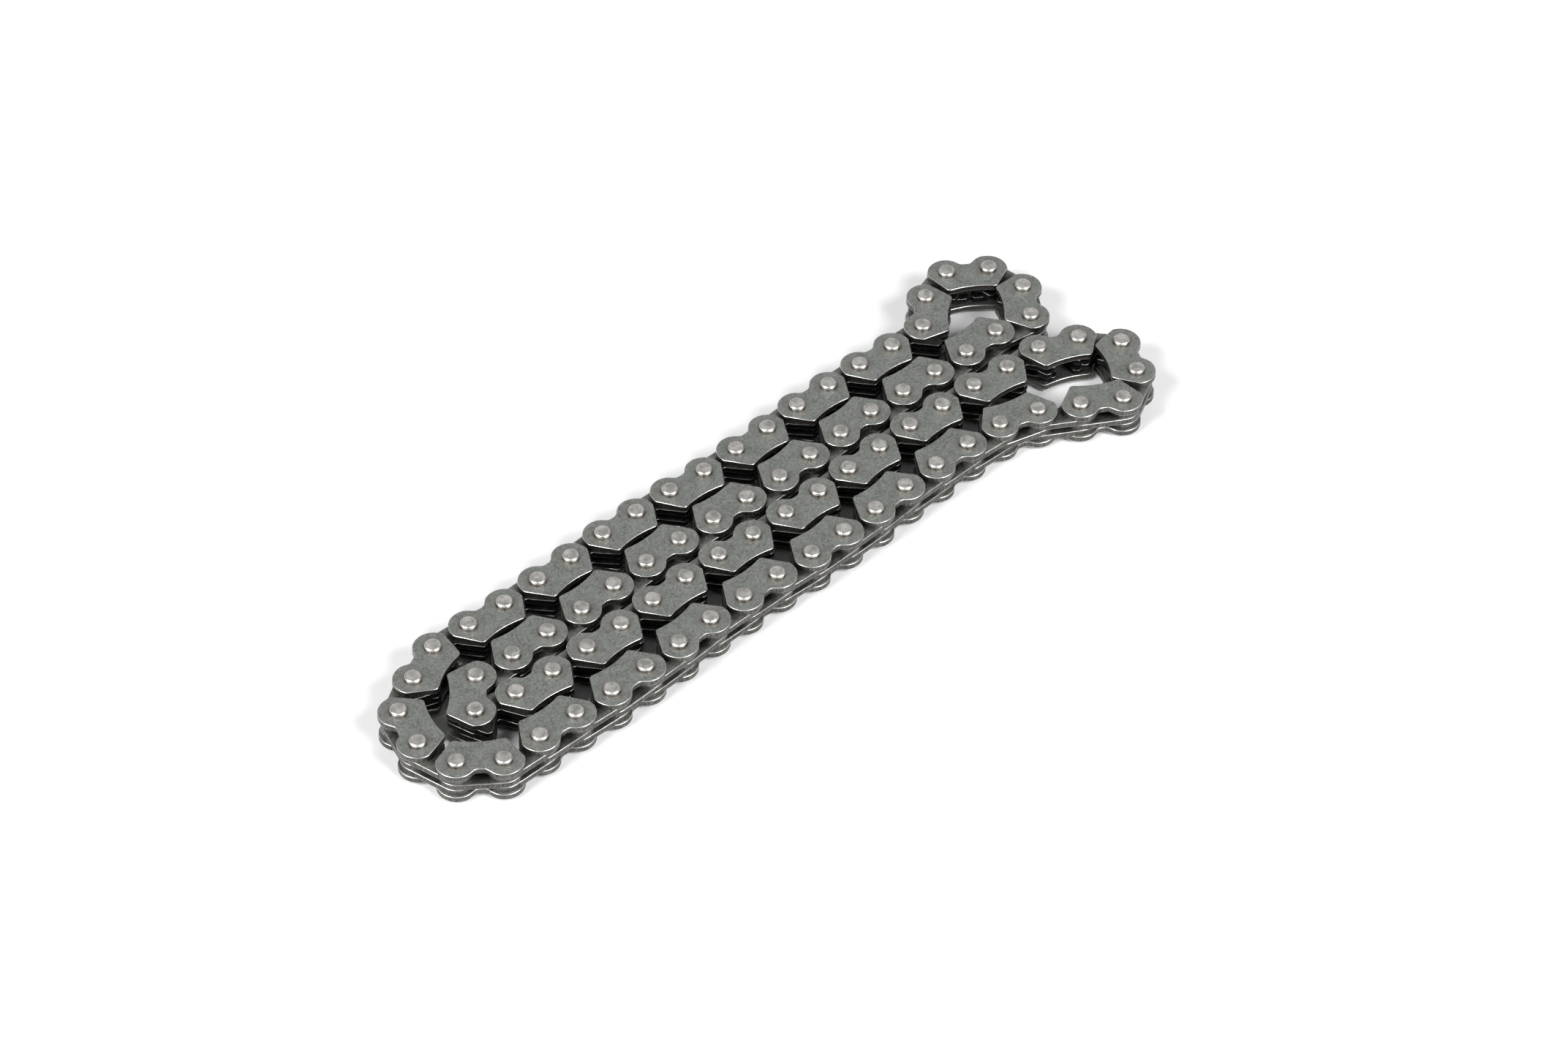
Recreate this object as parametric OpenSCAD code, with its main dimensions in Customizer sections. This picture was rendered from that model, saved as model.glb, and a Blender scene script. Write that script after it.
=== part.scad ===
// Endless inverted-tooth (silent) timing chain, lying flat and folded into four rows.
// 41 guide links and 41 knuckle links turn on 82 pins. Each pin stands upright.
// Plates are stacked guide, knuckle, centre, knuckle, guide.
// Frame: rows run along X, Z is up, and the origin is under the middle of the fold,
// level with the lower pin ends. Lengths are in millimetres.

/* [Chain] */
// Distance between pin centres
pitch = 6.35; // [5.2:0.05:8]
// Diameter of the pins
pin_d = 2.4; // [1.6:0.1:2.8]
// How far each pin stands out of the outer guide plates
pin_stand = 0.65; // [0.3:0.05:1.2]
// Bevel on the rim of the pin ends
pin_bevel = 0.2; // [0.05:0.05:0.35]

/* [Plates] */
// Thickness of every plate
plate_t = 0.95; // [0.6:0.05:1.5]
// Gap between neighbouring plates in the stack
plate_gap = 0.05; // [0.02:0.01:0.15]
// Radial clearance of a pin in the guide and centre plates that hold it
held_clear = 0.01; // [0.005:0.005:0.05]
// Radial clearance of a pin in the knuckle plates that turn on it
turn_clear = 0.05; // [0.02:0.01:0.1]
// Lean of the tooth flanks and guide flanks from upright, in degrees
flank_angle = 33; // [30:0.5:35]

/* [Guide plate] */
// Gap between the round lobes of neighbouring guide plates
lobe_gap = 0.6; // [0.4:0.05:1]
// Height of the waist edge above the pin line
waist_y = 1.5; // [0.8:0.1:2]
// Half length of the straight part of the waist
waist_half = 0.7; // [0.3:0.1:1]
// Depth of the front corners below the pin line
guide_depth = 4; // [3.4:0.05:4.9]
// How far the front edge is hollowed in the middle
guide_hollow = 0.5; // [0.1:0.1:1]
// Rounding of the front corners
corner_r = 0.45; // [0.1:0.05:0.6]

/* [Toothed plates] */
// Gap between the round ends of neighbouring toothed plates
link_gap = 1.35; // [1:0.05:1.8]
// Depth of the tooth tips below the pin line
tooth_depth = 3.85; // [3.2:0.05:4.6]
// Width of each tooth tip
tip_w = 0.8; // [0.6:0.05:1]
// Depth of the crotch between the two teeth below the pin line
crotch_y = 0.75; // [0.4:0.05:1.2]
// Half width of the crotch
crotch_half = 0.7; // [0.3:0.1:1]

/* [Lie] */
// Gap between rows whose teeth face each other
front_gap = 0.15; // [0.1:0.05:1]
// Gap between rows that lie back to back
back_gap = 0.2; // [0.15:0.05:1]
// Height of the slow wave that all four rows share
wave_y = 0.3; // [0:0.05:0.5]
// Side step of every other pin in a row
zigzag = 0.05; // [0:0.01:0.08]

/* [Hidden] */
$fn = 32;
link_count = 82;
guide_count = link_count / 2;
lobe_r = (pitch - lobe_gap) / 2;
link_r = (pitch - link_gap) / 2;
fit_fn = 48;
arc_step = 18;

// Heights of the stack, from the lower pin ends up
layer = plate_t + plate_gap;
stack_z = pin_stand;
pin_length = 2 * pin_stand + 5 * plate_t + 4 * plate_gap;
bottom_layer = 0;
lower_knuckle_layer = 1;
centre_layer = 2;
upper_knuckle_layer = 3;
top_layer = 4;

// Pins are numbered along the chain. Rows 1 and 3 run to +X, rows 2 and 4 run back.
row1_first = 1;
row1_last = 16;
row2_first = 22;
row2_last = 38;
row3_first = 40;
row3_last = 54;
row4_first = 63;
row4_last = 78;
// Heading of each link in the bends, in degrees from +X
upper_loop = [41, 15, -34, -83, -126];
inner_kink = -12;
lower_loop = [-6, -2, -23, -51, -117, -155, 148, 148];
outer_turn = [147, 104, 70, 22, 14];

// The wave is measured in columns of one pitch, counted from the left end of row 1
wave_top = 6.5;
wave_columns = 6.4;
row2_column = 39;
row3_column = 38.7;
row4_column = 77.8;

front_spacing = 2 * guide_depth + front_gap;
back_spacing = 2 * lobe_r + back_gap;
row2_y = -front_spacing;
row3_y = row2_y - back_spacing;
row4_y = row3_y - front_spacing;

function wave(column) = wave_y * cos(360 * (column - wave_top) / wave_columns);
function step(pin) = pin % 2 == 0 ? zigzag : -zigzag;
function row1_at(pin) = wave(pin) + step(pin);
function row2_at(pin) = row2_y + wave(row2_column - pin) + step(pin);
function row3_at(pin) = row3_y + wave(pin - row3_column) + step(pin);
function row4_at(pin) = row4_y + wave(row4_column - pin) + step(pin);

function go(from, heading) = from + pitch * [cos(heading), sin(heading)];
// One link to the right, or to the left, that ends at the given height
function go_right(from, y) = go(from, asin((y - from.y) / pitch));
function go_left(from, y) = go(from, 180 - asin((y - from.y) / pitch));
// Runs a list of pins on through a list of headings
function run(pins, headings, i = 0) =
    i == len(headings) ? pins
    : run(concat(pins, [go(pins[len(pins) - 1], headings[i])]), headings, i + 1);
function last_of(pins) = pins[len(pins) - 1];

// The fan of the outer turn: its headings are spread about straight up until its chord
// is as long as the gap that it closes, then all of them are turned onto that gap.
function fan(spread) = [for (h = outer_turn) 90 + (h - 90) * spread];
function chord(headings) = last_of(run([[0, 0]], headings));
widest_fan = 2.2;
function bisect(want, low, high, turns = 30) =
    let (mid = (low + high) / 2)
    turns == 0 ? mid
    : norm(chord(fan(mid))) > want ? bisect(want, mid, high, turns - 1)
    : bisect(want, low, mid, turns - 1);
function angle_of(v) = atan2(v.y, v.x);
function closing_headings(gap) =
    let (spread = bisect(norm(gap), 0, widest_fan), headings = fan(spread))
    [for (h = headings) h + angle_of(gap) - angle_of(chord(headings))];

// Pins 1 to 81 and 0, laid link by link
function add_row(pins, from, to, right) =
    from > to ? pins
    : add_row(
        concat(pins, [right > 0
            ? go_right(last_of(pins), right == 1 ? row1_at(from) : row3_at(from))
            : go_left(last_of(pins), right == -1 ? row2_at(from) : row4_at(from))]),
        from + 1, to, right);
row1 = add_row([[0, row1_at(row1_first)]], row1_first + 1, row1_last, 1);
loop_a = run(row1, upper_loop);
row2 = add_row(loop_a, row2_first, row2_last, -1);
// The link into the kink is aimed so that the link after it ends on row 3
kink_drop = row3_at(row3_first) - last_of(row2).y - pitch * sin(inner_kink);
kink = run(row2, [180 - asin(kink_drop / pitch), inner_kink]);
row3 = add_row(kink, row3_first + 1, row3_last, 2);
loop_b = run(row3, lower_loop);
row4 = add_row(loop_b, row4_first, row4_last, -2);
outer = run(row4, closing_headings(row1[0] - last_of(row4)));
raw_pins = [for (i = [0 : link_count - 1]) outer[(i + link_count - 1) % link_count]];

// ---- plate outlines, pins at (-pitch / 2, 0) and (pitch / 2, 0), teeth to -Y ----
function arc(centre, r, from, to) =
    let (n = ceil(abs(to - from) / arc_step))
    [for (i = [0 : n]) let (a = from + (to - from) * i / n) centre + r * [cos(a), sin(a)]];
function toward(a, b, reach) = a + (b - a) * reach / norm(b - a);
// A corner at b, rounded over the given reach on both sides
function rounded(a, b, c, reach) =
    let (p = toward(b, a, reach), q = toward(b, c, reach))
    [p, (p + 2 * b + q) / 4, q];
// Where a flank that starts at top reaches the given depth
function down_flank(top, depth) = [top.x - (depth + top.y) * tan(flank_angle), -depth];
// The mirror image leaves out the points that lie on the middle line
on_middle = 0.001;
function mirrored(points) =
    concat(points, [for (i = [len(points) - 1 : -1 : 0])
        if (abs(points[i].x) > on_middle) [-points[i].x, points[i].y]]);

pin_at = [pitch / 2, 0];
// The waist slopes up to the lobe at lobe_start and the flank leaves it at lobe_end
lobe_start = 122;
lobe_end = -7;
flank_top = pin_at + lobe_r * [cos(lobe_end), sin(lobe_end)];
guide_corner = down_flank(flank_top, guide_depth);
hollow_steps = 4;
function front_at(x) =
    [x, -guide_depth + guide_hollow * (1 - pow(x / guide_corner.x, 2))];
front_edge = [for (i = [hollow_steps - 1 : -1 : 0]) front_at(guide_corner.x * i / hollow_steps)];
guide_outline = mirrored(concat(
    [[0, waist_y], [waist_half, waist_y]],
    arc(pin_at, lobe_r, lobe_start, lobe_end),
    rounded(flank_top, guide_corner, front_edge[0], corner_r),
    front_edge));

// The toothed plates have a straight back, round ends, and two teeth
link_end = -10;
link_flank = pin_at + link_r * [cos(link_end), sin(link_end)];
outer_tip = down_flank(link_flank, tooth_depth);
inner_tip = outer_tip - [tip_w, 0];
crotch_side = [crotch_half, -crotch_y - crotch_half];
tip_reach = 0.2;
toothed_outline = mirrored(concat(
    arc(pin_at, link_r, 90, link_end),
    rounded(link_flank, outer_tip, inner_tip, tip_reach),
    rounded(outer_tip, inner_tip, crotch_side, tip_reach),
    [crotch_side, [crotch_half / 2, -crotch_y - crotch_half / 5], [0, -crotch_y]]));

// ---- the whole fold is centred on its own box ----
function placed(points, from, to) =
    let (d = (to - from) / norm(to - from), mid = (from + to) / 2)
    [for (p = points) mid + p.x * d + p.y * [-d.y, d.x]];
all_outlines = [for (i = [0 : link_count - 1])
    each placed(i % 2 == 0 ? guide_outline : toothed_outline,
        raw_pins[i], raw_pins[(i + 1) % link_count])];
all_x = [for (p = all_outlines) p.x];
all_y = [for (p = all_outlines) p.y];
middle = [min(all_x) + max(all_x), min(all_y) + max(all_y)] / 2;
pins = [for (p = raw_pins) p - middle];

// ---- pieces ----
module pin(at) {
    r = pin_d / 2;
    color("gainsboro")
        translate([at.x, at.y, 0])
            rotate_extrude($fn = fit_fn)
                polygon([
                    [0, 0], [r - pin_bevel, 0], [r, pin_bevel],
                    [r, pin_length - pin_bevel], [r - pin_bevel, pin_length], [0, pin_length]]);
}

module plate(outline, from, to, level, clearance) {
    d = to - from;
    mid = (from + to) / 2;
    bore_d = pin_d + 2 * clearance;
    translate([mid.x, mid.y, stack_z + level * layer])
        rotate([0, 0, angle_of(d)])
            difference() {
                linear_extrude(height = plate_t) polygon(outline);
                for (side = [-1, 1])
                    translate([side * pitch / 2, 0, -plate_t])
                        cylinder(d = bore_d, h = 3 * plate_t, $fn = fit_fn);
            }
}

// Two guide plates outside, one centre plate between the knuckles, and both pins
module guide_link(n) {
    first = 2 * (n - 1);
    a = pins[first];
    b = pins[first + 1];
    color("dimgray") {
        plate(guide_outline, a, b, bottom_layer, held_clear);
        plate(guide_outline, a, b, top_layer, held_clear);
    }
    color("gray") plate(toothed_outline, a, b, centre_layer, held_clear);
    pin(a);
    pin(b);
}

// Two toothed plates that turn on the pins of the guide links before and after
module knuckle_link(n) {
    first = 2 * n - 1;
    a = pins[first];
    b = pins[(first + 1) % link_count];
    color("gray")
        for (level = [lower_knuckle_layer, upper_knuckle_layer])
            plate(toothed_outline, a, b, level, turn_clear);
}

// Knuckle links that are bodies of their own: all of those in the four bends, and one
// in rows 1 and 3. The others share a node with the guide link before them.
own_knuckles = [1, 4, 8, 9, 10, 11, 12, 19, 20, 21, 24, 28, 29, 30, 31, 32, 39, 40, 41];
function is_own(n) = len([for (k = own_knuckles) if (k == n) k]) > 0;
function two_digit(n) = n < 10 ? str("0", n) : str(n);
function guide_name(n) = str(is_own(n) ? "guide_link_" : "link_pair_", two_digit(n));
function knuckle_name(n) = str("knuckle_link_", two_digit(n));

for (n = [1 : guide_count])
    union() {
        guide_link(n);
        if (!is_own(n)) knuckle_link(n);
    }
for (n = own_knuckles)
    knuckle_link(n);
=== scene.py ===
import math
import bmesh
import bpy
from mathutils import Matrix, Vector, noise


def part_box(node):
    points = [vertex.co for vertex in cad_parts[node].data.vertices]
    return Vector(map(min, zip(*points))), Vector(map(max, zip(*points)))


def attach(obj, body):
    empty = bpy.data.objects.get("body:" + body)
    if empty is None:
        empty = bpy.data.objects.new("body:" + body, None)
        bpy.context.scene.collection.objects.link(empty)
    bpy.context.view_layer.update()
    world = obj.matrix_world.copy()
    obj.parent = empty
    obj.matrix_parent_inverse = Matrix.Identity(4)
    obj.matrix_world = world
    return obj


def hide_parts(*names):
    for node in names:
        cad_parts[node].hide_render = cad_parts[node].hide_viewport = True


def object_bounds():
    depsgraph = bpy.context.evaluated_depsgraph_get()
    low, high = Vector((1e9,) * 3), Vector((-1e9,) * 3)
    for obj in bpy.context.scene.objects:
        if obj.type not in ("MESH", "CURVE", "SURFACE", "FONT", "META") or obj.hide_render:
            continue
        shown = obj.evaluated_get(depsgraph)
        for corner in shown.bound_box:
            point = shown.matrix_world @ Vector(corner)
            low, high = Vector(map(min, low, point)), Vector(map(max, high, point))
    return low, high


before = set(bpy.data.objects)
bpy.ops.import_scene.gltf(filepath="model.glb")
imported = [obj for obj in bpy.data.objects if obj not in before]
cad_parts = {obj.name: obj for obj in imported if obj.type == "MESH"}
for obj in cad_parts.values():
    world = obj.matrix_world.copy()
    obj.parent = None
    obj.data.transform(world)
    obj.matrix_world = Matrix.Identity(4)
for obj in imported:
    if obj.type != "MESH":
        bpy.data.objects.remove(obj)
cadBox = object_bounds()
millimetre = 0.001

# lengths are in millimetres unless a note says otherwise
chain = {
    "guideLinks": 41,
    "pitch": 6.35,
    "pinStand": 0.65,        # how far the pins stand out of the outer guide plates
    "plateThickness": 0.95,
    "plateGap": 0.05,
    "flankLean": 33,         # degrees from upright
    "pinRadius": 1.2,
    "heldClear": 0.01,
    "turnClear": 0.05,
}
layer = chain["plateThickness"] + chain["plateGap"]
halfPitch = chain["pitch"] / 2
mergeGap = 1e-4          # points nearer than this are one point
levelGap = 0.01          # heights nearer than this are one level


def boxCentre(points):
    xs = [p.x for p in points]
    ys = [p.y for p in points]
    return Vector((min(xs) + max(xs), min(ys) + max(ys))) / 2


def pointsAtLevel(node, level):
    points = [v.co / millimetre for v in node.data.vertices]
    return [p.to_2d() for p in points if abs(p.z - level) < levelGap]


def pinPlaces(node):
    # only the two pin tops reach the node's highest level
    tops = pointsAtLevel(node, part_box(node.name)[1].z / millimetre)
    near = [p for p in tops if (p - tops[0]).length < halfPitch]
    far = [p for p in tops if (p - tops[0]).length >= halfPitch]
    return boxCentre(near), boxCentre(far)


def toothSide(node, a, b):
    # the guide plates reach further from the pin line on the side of the teeth
    across = Vector((a.y - b.y, b.x - a.x)).normalized()
    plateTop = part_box(node.name)[1].z / millimetre - chain["pinStand"]
    reach = [(p - (a + b) / 2).dot(across) for p in pointsAtLevel(node, plateTop)]
    return across if max(reach) > -min(reach) else -across


def readLinks():
    guides = {}
    for n in range(1, chain["guideLinks"] + 1):
        own = f"guide_link_{n:02d}"
        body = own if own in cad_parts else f"link_pair_{n:02d}"
        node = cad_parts[body]
        a, b = pinPlaces(node)
        teeth = toothSide(node, a, b)
        travel = Vector((-teeth.y, teeth.x))      # the teeth are on the right of the travel
        if (b - a).dot(travel) < 0:
            a, b = b, a
        guides[n] = {"number": n, "start": a, "end": b, "body": body}
    knuckles = {}
    for n, link in guides.items():
        own = f"knuckle_link_{n:02d}"
        after = guides[n % chain["guideLinks"] + 1]
        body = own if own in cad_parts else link["body"]
        knuckles[n] = {"number": n, "start": link["end"], "end": after["start"], "body": body}
    return guides, knuckles


guideLinks, knuckleLinks = readLinks()
print("links read:", len(guideLinks), "guide links and", len(knuckleLinks), "knuckle links")


def startLine(bm, place):
    return bmesh.ops.create_vert(bm, co=place)["vert"][0]


def moveOn(bm, vert, place):
    grown = bmesh.ops.extrude_vert_indiv(bm, verts=[vert])["verts"][0]
    grown.co = place
    return grown


def sweepRound(bm, vert, centre, degrees, steps):
    swept = bmesh.ops.spin(bm, geom=[vert], cent=(*centre, 0), axis=(0, 0, 1),
                           angle=math.radians(degrees), steps=steps)
    return swept["geom_last"][0]


def onCircle(centre, radius, degrees):
    turn = math.radians(degrees)
    return centre[0] + radius * math.cos(turn), centre[1] + radius * math.sin(turn), 0


def flankFoot(top, depth):
    return top[0] - (depth + top[1]) * math.tan(math.radians(chain["flankLean"])), -depth, 0


guidePlate = {
    "lobeRadius": 2.86,
    "lobeFrom": 122,         # degrees round the pin, where the waist meets the lobe
    "lobeTo": -7,            # and where the flank leaves it
    "lobeSteps": 13,
    "waistHeight": 1.5,
    "waistHalf": 0.7,
    "depth": 4.0,
    "hollow": 0.5,
    "hollowSteps": 6,
    "cornerRound": 0.45,
    "waistRound": 0.35,
}


def guideOutline(bm):
    g = guidePlate
    pin = (halfPitch, 0)
    lobeStart = onCircle(pin, g["lobeRadius"], g["lobeFrom"])
    foot = flankFoot(onCircle(pin, g["lobeRadius"], g["lobeTo"]), g["depth"])
    middle = startLine(bm, (0, g["waistHeight"], 0))
    waist = moveOn(bm, middle, (g["waistHalf"], g["waistHeight"], 0))
    lobe = moveOn(bm, waist, lobeStart)
    flank = sweepRound(bm, lobe, pin, g["lobeTo"] - g["lobeFrom"], g["lobeSteps"])
    corner = moveOn(bm, flank, foot)
    front = corner
    for i in range(g["hollowSteps"] - 1, -1, -1):
        x = foot[0] * i / g["hollowSteps"]
        front = moveOn(bm, front, (x, -g["depth"] + g["hollow"] * (1 - (x / foot[0]) ** 2), 0))
    return [(corner, g["cornerRound"]), (waist, g["waistRound"]), (lobe, g["waistRound"])]


toothedPlate = {
    "endRadius": 2.5,
    "endTo": -10,            # degrees, where the flank leaves the round end
    "endSteps": 10,
    "depth": 3.85,
    "tipWidth": 0.8,
    "tipRound": 0.2,
    "crotchDepth": 0.75,
    "crotchHalf": 0.7,
}


def toothedOutline(bm):
    t = toothedPlate
    pin = (halfPitch, 0)
    outer = flankFoot(onCircle(pin, t["endRadius"], t["endTo"]), t["depth"])
    inner = (outer[0] - t["tipWidth"], outer[1], 0)
    half = t["crotchHalf"]
    middle = startLine(bm, (0, t["endRadius"], 0))
    back = moveOn(bm, middle, (halfPitch, t["endRadius"], 0))
    flank = sweepRound(bm, back, pin, t["endTo"] - 90, t["endSteps"])
    outerTip = moveOn(bm, flank, outer)
    innerTip = moveOn(bm, outerTip, inner)
    crotch = moveOn(bm, innerTip, (half, -t["crotchDepth"] - half, 0))
    crotch = moveOn(bm, crotch, (half / 2, -t["crotchDepth"] - half / 5, 0))
    moveOn(bm, crotch, (0, -t["crotchDepth"], 0))
    return [(outerTip, t["tipRound"]), (innerTip, t["tipRound"])]


plateEdge = {
    "rimBevel": 0.085,
    "rimSegments": 2,
    "cornerSegments": 3,
    "boreSteps": 24,
}
faceSlot, rimSlot, shearSlot = 0, 1, 2       # material slots of a plate


def fillOutline(bm, outline, boreRadius):
    for vert, reach in outline(bm):
        bmesh.ops.bevel(bm, geom=[vert], affect="VERTICES", offset=reach, profile=0.5, material=-1,
                        segments=plateEdge["cornerSegments"])
    bmesh.ops.mirror(bm, geom=bm.verts[:] + bm.edges[:], axis="X", merge_dist=mergeGap)
    bmesh.ops.remove_doubles(bm, verts=bm.verts, dist=mergeGap)
    for side in (-1, 1):
        bmesh.ops.create_circle(bm, segments=plateEdge["boreSteps"], radius=boreRadius,
                                matrix=Matrix.Translation((side * halfPitch, 0, 0)))
    bmesh.ops.triangle_fill(bm, edges=bm.edges[:], use_beauty=True)
    bmesh.ops.dissolve_limit(bm, angle_limit=math.radians(1), verts=bm.verts, edges=bm.edges,
                             use_dissolve_boundaries=False)


def onOuterRim(edge, boreRadius):
    a, b = (v.co for v in edge.verts)
    pin = Vector((math.copysign(halfPitch, a.x), 0))
    atBore = max((a.to_2d() - pin).length, (b.to_2d() - pin).length) < boreRadius * 1.05
    return edge.calc_face_angle(0) > 1 and abs(a.z - b.z) < levelGap and not atBore


def plateTemplate(name, outline, boreRadius):
    bm = bmesh.new()
    fillOutline(bm, outline, boreRadius)
    raised = bmesh.ops.extrude_face_region(bm, geom=bm.faces[:])["geom"]
    bmesh.ops.translate(bm, vec=(0, 0, chain["plateThickness"]),
                        verts=[g for g in raised if isinstance(g, bmesh.types.BMVert)])
    bmesh.ops.recalc_face_normals(bm, faces=bm.faces)
    for face in bm.faces:
        upright = abs(face.normal.z) < 0.5
        face.material_index = shearSlot if upright else faceSlot
        face.smooth = upright
    rimEdges = [e for e in bm.edges if onOuterRim(e, boreRadius)]
    turned = bmesh.ops.bevel(bm, geom=rimEdges, affect="EDGES", offset=plateEdge["rimBevel"],
                             segments=plateEdge["rimSegments"], profile=0.5, material=-1,
                             clamp_overlap=True)
    for face in turned["faces"]:
        face.material_index = rimSlot
        face.smooth = True
    plateMap = bm.loops.layers.uv.new("plateMap")     # the plate's own plane, in millimetres
    for face in bm.faces:
        for loop in face.loops:
            loop[plateMap].uv = loop.vert.co.to_2d()
    mesh = bpy.data.meshes.new(name)
    bm.to_mesh(mesh)
    bm.free()
    return mesh


heldBore = chain["pinRadius"] + chain["heldClear"]
turningBore = chain["pinRadius"] + chain["turnClear"]
guideShape = plateTemplate("guideShape", guideOutline, heldBore)
centreShape = plateTemplate("centreShape", toothedOutline, heldBore)
knuckleShape = plateTemplate("knuckleShape", toothedOutline, turningBore)
print("plates drawn:", len(guideShape.polygons), "and", len(knuckleShape.polygons), "faces each")


pinShape = {
    "rimBevel": 0.34,
    "flatWander": 0.1,       # how unevenly the flat end meets its rim
    "wanderSize": 1.4,       # how fine that unevenness is
    "around": 28,
}
pinLength = 2 * chain["pinStand"] + 5 * chain["plateThickness"] + 4 * chain["plateGap"]
pinEndSlot, pinRimSlot, pinSideSlot = 0, 1, 2


def pinTemplate(seed):
    radius, bevel = chain["pinRadius"], pinShape["rimBevel"]
    flat = radius - bevel
    profile = [(0, 0), (flat, 0), (radius - 0.4 * bevel, 0.16 * bevel),
               (radius - 0.08 * bevel, 0.5 * bevel), (radius, bevel)]
    profile += [(x, pinLength - z) for x, z in reversed(profile)]
    bm = bmesh.new()
    vert = startLine(bm, (0, 0, 0))
    for x, z in profile[1:]:
        vert = moveOn(bm, vert, (x, 0, z))
    bmesh.ops.spin(bm, geom=bm.verts[:] + bm.edges[:], cent=(0, 0, 0), axis=(0, 0, 1),
                   angle=2 * math.pi, steps=pinShape["around"], use_merge=True)
    bmesh.ops.remove_doubles(bm, verts=bm.verts, dist=mergeGap)
    bmesh.ops.recalc_face_normals(bm, faces=bm.faces)
    for vert in bm.verts:
        out = vert.co.to_2d()
        if abs(out.length - flat) < levelGap:
            turn = out.normalized() * pinShape["wanderSize"]
            wander = noise.noise(Vector((turn.x + seed * 3.1, turn.y + vert.co.z, seed)))
            vert.co.xy *= 1 + wander * pinShape["flatWander"]
    for face in bm.faces:
        middle = face.calc_center_median()
        if min(middle.z, pinLength - middle.z) > bevel:
            face.material_index = pinSideSlot
        elif middle.to_2d().length > flat:
            face.material_index = pinRimSlot
        else:
            face.material_index = pinEndSlot
        face.smooth = face.material_index != pinEndSlot
    mesh = bpy.data.meshes.new("pinShape")
    bm.to_mesh(mesh)
    bm.free()
    return mesh


def feed(tree, socket, value):
    if isinstance(value, bpy.types.NodeSocket):
        tree.links.new(value, socket)
    else:
        socket.default_value = value


def addNode(tree, kind, settings=None, **inputs):
    # an input's name is written with _ for each space
    node = tree.nodes.new(kind)
    for key, value in (settings or {}).items():
        setattr(node, key, value)
    for key, value in inputs.items():
        feed(tree, node.inputs[key.replace("_", " ")], value)
    return node


def addGroup(tree, group, **inputs):
    return addNode(tree, "ShaderNodeGroup", {"node_tree": group}, **inputs).outputs


def newGroup(name, inputs, outputs):
    group = bpy.data.node_groups.new(name, "ShaderNodeTree")
    for label in inputs:
        kind = "NodeSocketVector" if label in ("Place", "Plate Map") else "NodeSocketFloat"
        group.interface.new_socket(label, in_out="INPUT", socket_type=kind)
    for label in outputs:
        group.interface.new_socket(label, in_out="OUTPUT", socket_type="NodeSocketFloat")
    into = addNode(group, "NodeGroupInput").outputs
    out = addNode(group, "NodeGroupOutput").inputs
    return group, into, out


def ramp(tree, value, low, high, toLow, toHigh):
    limits = {"From_Min": low, "From_Max": high, "To_Min": toLow, "To_Max": toHigh}
    smooth = {"interpolation_type": "SMOOTHSTEP"}
    return addNode(tree, "ShaderNodeMapRange", smooth, Value=value, **limits).outputs["Result"]


def maths(tree, operation, *values):
    node = addNode(tree, "ShaderNodeMath", {"operation": operation})
    for socket, value in zip(node.inputs, values):
        feed(tree, socket, value)
    return node.outputs[0]


def blendColour(tree, share, a, b):
    node = addNode(tree, "ShaderNodeMix", {"data_type": "RGBA"})
    sockets = [s for s in node.inputs if s.enabled]       # the factor and the two colours
    for socket, value in zip(sockets, (share, a, b)):
        feed(tree, socket, value)
    return next(s for s in node.outputs if s.enabled)


def tumbledGroup():
    # slow clouds and a fine peened grain, as tumbling leaves them on stamped steel
    group, into, out = newGroup("tumbledSteel", ["Place", "Cloud Size", "Grain Size"],
                                ["Clouds", "Grain"])
    clouds = addNode(group, "ShaderNodeTexNoise", Vector=into["Place"], Detail=4, Roughness=0.55,
                     Scale=maths(group, "DIVIDE", 1, into["Cloud Size"])).outputs[0]
    grain = addNode(group, "ShaderNodeTexNoise", Vector=into["Place"], Detail=3, Roughness=0.7,
                    Scale=maths(group, "DIVIDE", 1, into["Grain Size"])).outputs[0]
    feed(group, out["Clouds"], ramp(group, clouds, 0.3, 0.7, 0, 1))
    feed(group, out["Grain"], ramp(group, grain, 0.25, 0.75, 0, 1))
    return group


def scratchGroup():
    # two families of hair-thin rubbed lines
    group, into, out = newGroup("rubbedScratches", ["Place", "Amount"], ["Lines"])
    families = []
    for turn, shift in ((0.5, 0), (2.1, 37)):
        place = addNode(group, "ShaderNodeMapping", Vector=into["Place"], Rotation=(0, 0, turn),
                        Scale=(0.35, 14, 1), Location=(shift, shift, 0)).outputs[0]
        lines = addNode(group, "ShaderNodeTexNoise", Vector=place, Scale=1, Detail=1).outputs[0]
        families.append(ramp(group, lines, 0.68, 0.74, 0, 1))
    both = maths(group, "MAXIMUM", *families)
    feed(group, out["Lines"], maths(group, "MULTIPLY", both, into["Amount"]))
    return group


def stainAndShadeGroup():
    # a dark ring of painted contact shade and a faint brown stain bloom round both pins of a plate
    group, into, out = newGroup("pinStainAndShade", ["Plate Map", "Clouds"], ["Oil", "Bloom"])
    parts = addNode(group, "ShaderNodeSeparateXYZ", Vector=into["Plate Map"]).outputs
    along = maths(group, "SUBTRACT", maths(group, "ABSOLUTE", parts["X"]), halfPitch)
    alongSquared = maths(group, "MULTIPLY", along, along)
    acrossSquared = maths(group, "MULTIPLY", parts["Y"], parts["Y"])
    fromPin = maths(group, "SQRT", maths(group, "ADD", alongSquared, acrossSquared))
    uneven = maths(group, "MULTIPLY_ADD", into["Clouds"], 0.35, fromPin)
    feed(group, out["Oil"], ramp(group, uneven, 1.25, 1.75, 1, 0))
    feed(group, out["Bloom"], ramp(group, uneven, 1.4, 2.9, 1, 0))
    return group


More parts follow.
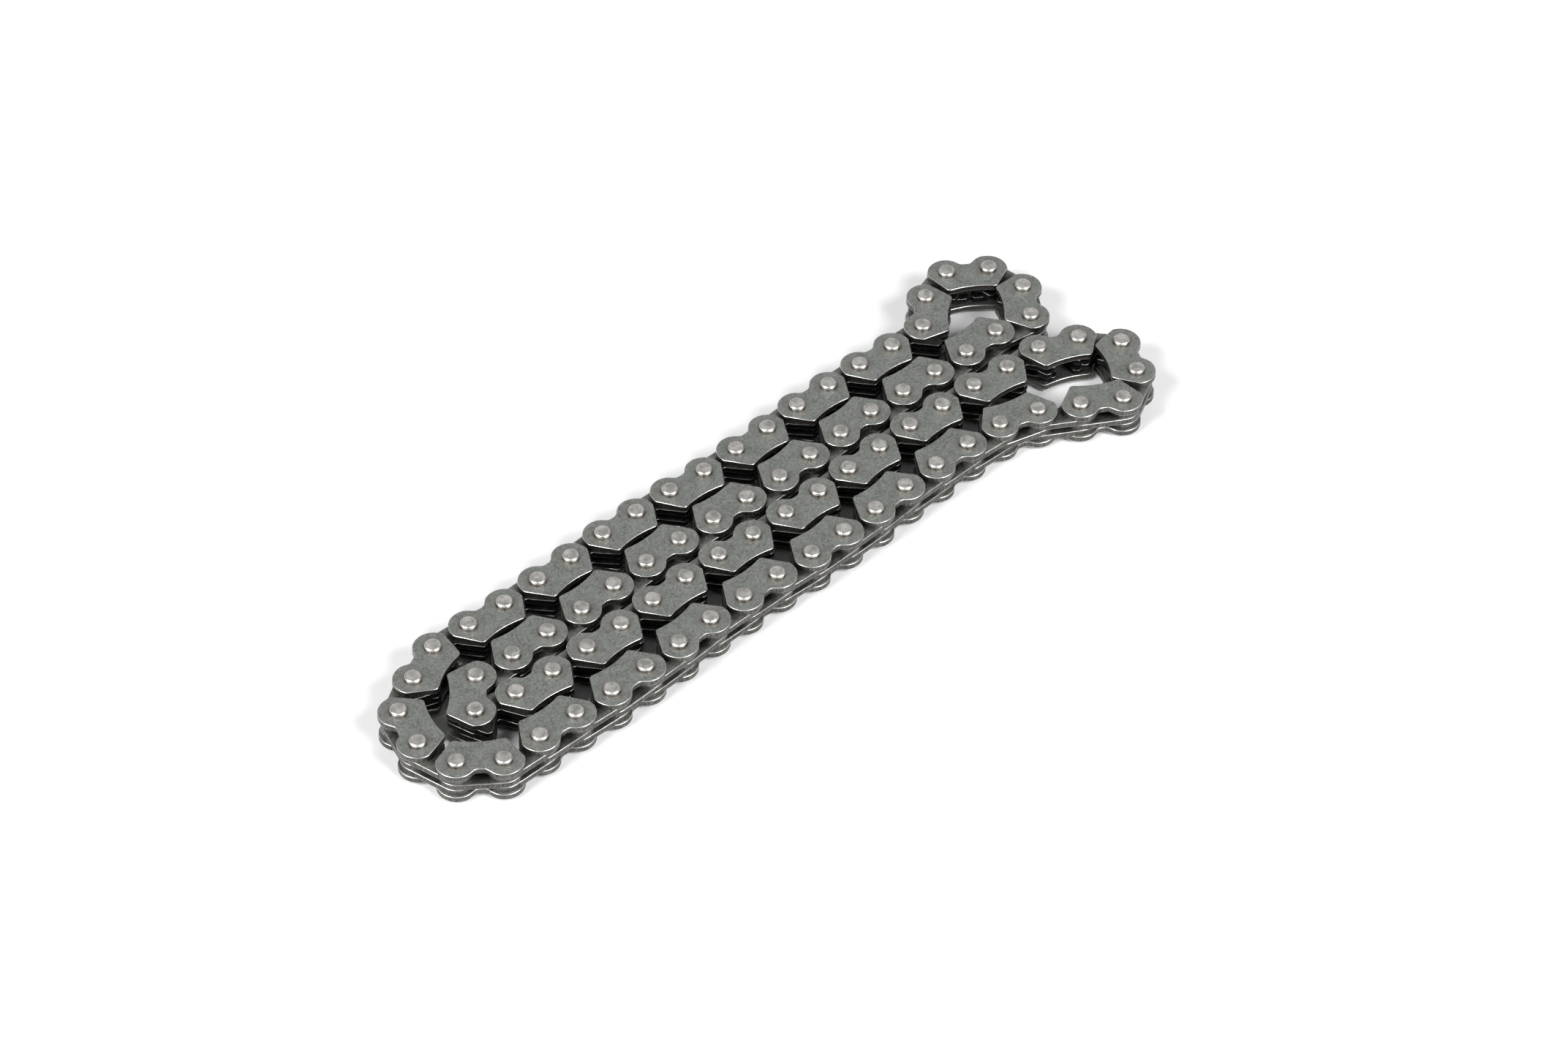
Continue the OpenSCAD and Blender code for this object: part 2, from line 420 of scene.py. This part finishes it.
def toothShadeGroup():
    # painted shade on the toothed side of a link, up to Reach, where the plates shade each other
    # inside the loop; its back is left unshaded
    group, into, out = newGroup("toothOil", ["Plate Map", "Clouds", "Reach"], ["Oil"])
    parts = addNode(group, "ShaderNodeSeparateXYZ", Vector=into["Plate Map"]).outputs
    uneven = maths(group, "ADD", parts["Y"], into["Clouds"])
    pastReach = maths(group, "SUBTRACT", uneven, into["Reach"])
    feed(group, out["Oil"], ramp(group, pastReach, -0.6, 1.4, 1, 0))
    return group


def shearGroup():
    # upright streaks that the punch drags down a cut side
    group, into, out = newGroup("shearStreaks", ["Place"], ["Streaks"])
    place = addNode(group, "ShaderNodeMapping", Vector=into["Place"], Scale=(9, 9, 0.8)).outputs[0]
    streaks = addNode(group, "ShaderNodeTexNoise", Vector=place, Scale=1, Detail=3,
                      Roughness=0.65).outputs[0]
    feed(group, out["Streaks"], ramp(group, streaks, 0.3, 0.7, 0, 1))
    return group


tumbledSteel = tumbledGroup()
rubbedScratches = scratchGroup()
pinStainAndShade = stainAndShadeGroup()
toothOil = toothShadeGroup()
shearStreaks = shearGroup()


def startSteel(name):
    material = bpy.data.materials.new(name)
    material.use_nodes = True
    tree = material.node_tree
    shader = tree.nodes["Principled BSDF"].inputs
    shader["Metallic"].default_value = 1
    coords = addNode(tree, "ShaderNodeTexCoord").outputs["Object"]
    place = addNode(tree, "ShaderNodeMapping", Vector=coords, Scale=(1 / millimetre,) * 3).outputs[0]
    return material, tree, shader, place


def readPlateMap(tree):
    return addNode(tree, "ShaderNodeUVMap", {"uv_map": "plateMap"}).outputs[0]


# painted shade: blends the given near-black colour over the toothed side of a plate
def coverWithOil(tree, tone, paintedShade, share, clouds, reach):
    shadeMask = addGroup(tree, toothOil, Plate_Map=readPlateMap(tree), Clouds=clouds, Reach=reach)["Oil"]
    return blendColour(tree, maths(tree, "MULTIPLY", shadeMask, share), tone, paintedShade)


def addBump(tree, shader, height, strength, distance):
    bump = addNode(tree, "ShaderNodeBump", Height=height, Strength=strength, Distance=distance)
    feed(tree, shader["Normal"], bump.outputs[0])


def faceMaterial(name, colours, paintedShadeShare, roughness):
    material, tree, shader, place = startSteel(name)
    dark, light, brown, paintedShade = (colours[k] for k in ("dark", "light", "brown", "paintedShade"))
    finish = addGroup(tree, tumbledSteel, Place=place, Cloud_Size=1.9, Grain_Size=0.3)
    clouds, grain = finish["Clouds"], finish["Grain"]
    lines = addGroup(tree, rubbedScratches, Place=place, Amount=0.6)["Lines"]
    stainAndShade = addGroup(tree, pinStainAndShade, Plate_Map=readPlateMap(tree), Clouds=clouds)
    tone = blendColour(tree, grain, dark, light)
    tone = blendColour(tree, maths(tree, "MULTIPLY", clouds, 0.4), tone, light)
    tone = blendColour(tree, maths(tree, "MULTIPLY", stainAndShade["Bloom"], 0.45), tone, brown)
    # painted contact shade: a dark ring round each pin
    tone = blendColour(tree, maths(tree, "MULTIPLY", stainAndShade["Oil"], 0.6), tone, paintedShade)
    # painted shade over the toothed side of the plate
    if paintedShadeShare:
        tone = coverWithOil(tree, tone, paintedShade, paintedShadeShare, clouds, 1.6)
    feed(tree, shader["Base Color"], blendColour(tree, lines, tone, light))
    grainy = maths(tree, "MULTIPLY_ADD", grain, 0.14, roughness)
    feed(tree, shader["Roughness"], maths(tree, "MULTIPLY_ADD", stainAndShade["Oil"], -0.12, grainy))
    height = maths(tree, "MULTIPLY", maths(tree, "ADD", grain, clouds), 0.6)
    addBump(tree, shader, height, 0.6, 0.00005)
    return material


def rimMaterial(name, dull, bright, roughness, paintedShade=None):
    material, tree, shader, place = startSteel(name)
    finish = addGroup(tree, tumbledSteel, Place=place, Cloud_Size=1.3, Grain_Size=0.2)
    tone = blendColour(tree, finish["Clouds"], dull, bright)
    # painted shade over the toothed side of the rim
    if paintedShade:
        tone = coverWithOil(tree, tone, paintedShade, 0.8, finish["Clouds"], 0.8)
    feed(tree, shader["Base Color"], tone)
    feed(tree, shader["Roughness"], maths(tree, "MULTIPLY_ADD", finish["Grain"], 0.15, roughness))
    addBump(tree, shader, finish["Grain"], 0.3, 0.00002)
    return material


def shearMaterial(name, dark, light, roughness, paintedShade=None, paintedShadeShare=0):
    material, tree, shader, place = startSteel(name)
    clouds = addGroup(tree, tumbledSteel, Place=place, Cloud_Size=1.6, Grain_Size=0.15)["Clouds"]
    streaks = addGroup(tree, shearStreaks, Place=place)["Streaks"]
    tone = blendColour(tree, streaks, dark, light)
    tone = blendColour(tree, maths(tree, "MULTIPLY", clouds, 0.4), tone, dark)
    # painted shade over the toothed side of the cut sides
    if paintedShade:
        tone = coverWithOil(tree, tone, paintedShade, paintedShadeShare, clouds, 0.4)
    feed(tree, shader["Base Color"], tone)
    feed(tree, shader["Roughness"], maths(tree, "MULTIPLY_ADD", streaks, 0.15, roughness))
    addBump(tree, shader, streaks, 0.5, 0.00003)
    return material


guideSteel = {
    "dark": (0.17, 0.185, 0.175, 1),
    "light": (0.51, 0.53, 0.50, 1),
    "brown": (0.34, 0.31, 0.275, 1),
    # the near-black colour of the painted shade round the pins and on the toothed side of the cut
    # sides
    "paintedShade": (0.10, 0.095, 0.085, 1),
    "rimDull": (0.52, 0.515, 0.49, 1),
    "rimBright": (0.88, 0.865, 0.82, 1),
    "shearDark": (0.035, 0.035, 0.033, 1),
    "shearLight": (0.24, 0.235, 0.22, 1),
}


def guideMaterialSet():
    c = guideSteel
    # the cut sides carry painted shade on the toothed side, at a share of 0.6
    return [faceMaterial("guideFace", c, 0, 0.38),
            rimMaterial("guideRim", c["rimDull"], c["rimBright"], 0.26),
            shearMaterial("guideShear", c["shearDark"], c["shearLight"], 0.36, c["paintedShade"], 0.6)]


# painted shade: this steel is set darker than the guide steel because these inner plates lie between
# the guide plates
shadedKnuckleSteel = {
    "dark": (0.20, 0.205, 0.195, 1),
    "light": (0.42, 0.42, 0.395, 1),
    "brown": (0.28, 0.24, 0.21, 1),
    # the near-black colour of the painted shade round the pins and on the toothed side
    "paintedShade": (0.012, 0.013, 0.013, 1),
    "rimDull": (0.34, 0.335, 0.32, 1),
    "rimBright": (0.70, 0.685, 0.65, 1),
    # the colour of the painted shade on the toothed side of the rims
    "rimOily": (0.09, 0.09, 0.088, 1),
    "shearDark": (0.035, 0.035, 0.033, 1),
    "shearLight": (0.20, 0.195, 0.185, 1),
}


def knuckleMaterialSet():
    c = shadedKnuckleSteel
    # painted shade on the toothed side: a share of 0.85 on the faces, 0.8 on the rims and 0.95 on
    # the cut sides
    return [faceMaterial("knuckleFace", c, 0.85, 0.36),
            rimMaterial("knuckleRim", c["rimDull"], c["rimBright"], 0.28, c["rimOily"]),
            shearMaterial("knuckleShear", c["shearDark"], c["shearLight"], 0.34, c["paintedShade"], 0.95)]


pinSteel = {
    "endDull": (0.46, 0.445, 0.42, 1),
    "endBright": (0.88, 0.855, 0.81, 1),
    "rimDull": (0.86, 0.84, 0.80, 1),
    "rimBright": (0.97, 0.955, 0.92, 1),
    "sideDark": (0.16, 0.15, 0.14, 1),
    "sideLight": (0.40, 0.38, 0.35, 1),
}


def pinMaterialSet():
    c = pinSteel
    return [rimMaterial("pinEnd", c["endDull"], c["endBright"], 0.3),
            rimMaterial("pinRim", c["rimDull"], c["rimBright"], 0.25),
            shearMaterial("pinSide", c["sideDark"], c["sideLight"], 0.25)]


guideMaterials = guideMaterialSet()
knuckleMaterials = knuckleMaterialSet()
pinMaterials = pinMaterialSet()
print("materials made:", len(guideMaterials + knuckleMaterials + pinMaterials))


def addToScene(name, data):
    thing = bpy.data.objects.new(name, data)
    bpy.context.scene.collection.objects.link(thing)
    return thing


def finishPiece(bm, name, materials, body):
    bmesh.ops.scale(bm, vec=(millimetre,) * 3, verts=bm.verts)
    mesh = bpy.data.meshes.new(name)
    bm.to_mesh(mesh)
    bm.free()
    for material in materials:
        mesh.materials.append(material)
    piece = addToScene(name, mesh)
    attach(piece, body)
    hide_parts(body)


def addCopy(bm, shape, place):
    had = len(bm.verts)
    bm.from_mesh(shape)
    bmesh.ops.transform(bm, matrix=place, verts=bm.verts[:][had:])


def layPlates(name, shape, link, levels, materials):
    along = link["end"] - link["start"]
    middle = (link["start"] + link["end"]) / 2
    turn = Matrix.Rotation(math.atan2(along.y, along.x), 4, "Z")
    bm = bmesh.new()
    for level in levels:
        height = chain["pinStand"] + level * layer
        addCopy(bm, shape, Matrix.Translation((*middle, height)) @ turn)
    finishPiece(bm, name, materials, link["body"])


def layPins(name, link):
    bm = bmesh.new()
    for k, place in enumerate((link["start"], link["end"])):
        addCopy(bm, pinTemplate(2 * link["number"] + k), Matrix.Translation((*place, 0)))
    finishPiece(bm, name, pinMaterials, link["body"])


for n, link in guideLinks.items():
    layPlates(f"guide_plates_{n:02d}", guideShape, link, (0, 4), guideMaterials)
    layPlates(f"centre_plate_{n:02d}", centreShape, link, (2,), knuckleMaterials)
    layPins(f"pins_{n:02d}", link)
for n, link in knuckleLinks.items():
    layPlates(f"knuckle_plates_{n:02d}", knuckleShape, link, (1, 3), knuckleMaterials)
print("pieces laid:", 3 * len(guideLinks) + len(knuckleLinks))


viewpoint = {
    "turn": -45.14,          # degrees from +X to the camera's right side
    "elevation": 44.80,
    "roll": 1.206,
    "distance": 658.68,
    "aim": (1.18, -3.04),
    "lens": 107.68,
    "sensor": 36,
    "farClip": 10,           # metres
}
turn, rise, roll = (math.radians(viewpoint[k]) for k in ("turn", "elevation", "roll"))
upright = Vector((0, 0, 1))
away = Vector((-math.sin(turn), math.cos(turn), 0))       # level, away from the camera
ahead = away * math.cos(rise) - upright * math.sin(rise)
unrolledSide = Vector((math.cos(turn), math.sin(turn), 0))
unrolledTop = unrolledSide.cross(ahead)
cameraSide = unrolledSide * math.cos(roll) + unrolledTop * math.sin(roll)
cameraTop = unrolledTop * math.cos(roll) - unrolledSide * math.sin(roll)
lampSide = Vector((cameraSide.x, cameraSide.y, 0)).normalized()


def addCamera():
    data = bpy.data.cameras.new("camera")
    data.lens = viewpoint["lens"]
    data.sensor_width = viewpoint["sensor"]
    data.clip_end = viewpoint["farClip"]
    camera = addToScene("camera", data)
    aim = Vector((*viewpoint["aim"], cadBox[1].z / millimetre))
    place = (aim - ahead * viewpoint["distance"]) * millimetre
    facing = Matrix((cameraSide, cameraTop, -ahead)).transposed().to_4x4()
    camera.matrix_world = Matrix.Translation(place) @ facing
    bpy.context.scene.camera = camera


# places from the middle of the chain and sizes in metres, power in watts
lamps = {
    "leftSoftbox": {"side": -0.7, "away": -0.55, "height": 0.75, "size": (0.5, 0.6), "power": 14},
    "rightSoftbox": {"side": 0.7, "away": -0.55, "height": 0.75, "size": (0.5, 0.6), "power": 14},
    "backCard": {"side": 0, "away": 0.9, "height": 0.9, "size": (1.5, 1.1), "power": 2.1},
}


def addLamp(name, settings):
    data = bpy.data.lights.new(name, "AREA")
    data.shape = "RECTANGLE"
    data.size, data.size_y = settings["size"]
    data.energy = settings["power"]
    lamp = addToScene(name, data)
    place = lampSide * settings["side"] + away * settings["away"] + upright * settings["height"]
    facing = (-place).to_track_quat("-Z", "Y").to_matrix().to_4x4()
    lamp.matrix_world = Matrix.Translation(place) @ facing


palePaper = {
    "colour": (0.93, 0.93, 0.935, 1),
    "roughness": 0.7,
    "gloss": 0.2,
    "halfWidth": 3,          # metres
}


def addFloor():
    bm = bmesh.new()
    bmesh.ops.create_grid(bm, x_segments=1, y_segments=1, size=palePaper["halfWidth"])
    bmesh.ops.translate(bm, verts=bm.verts, vec=(0, 0, cadBox[0].z))
    mesh = bpy.data.meshes.new("floor")
    bm.to_mesh(mesh)
    bm.free()
    material = bpy.data.materials.new("palePaper")
    material.use_nodes = True
    shader = material.node_tree.nodes["Principled BSDF"].inputs
    shader["Base Color"].default_value = palePaper["colour"]
    shader["Roughness"].default_value = palePaper["roughness"]
    shader["Specular IOR Level"].default_value = palePaper["gloss"]
    mesh.materials.append(material)
    floor = addToScene("floor", mesh)


def addRoomLight(strength):
    world = bpy.data.worlds.new("paleRoom")
    world.use_nodes = True
    background = world.node_tree.nodes["Background"].inputs
    background["Color"].default_value = (1, 1, 1, 1)
    background["Strength"].default_value = strength
    bpy.context.scene.world = world


addFloor()
addCamera()
addRoomLight(0.16)
for name, settings in lamps.items():
    addLamp(name, settings)
bpy.context.scene.view_settings.view_transform = "Standard"
print("floor, camera and lights placed")
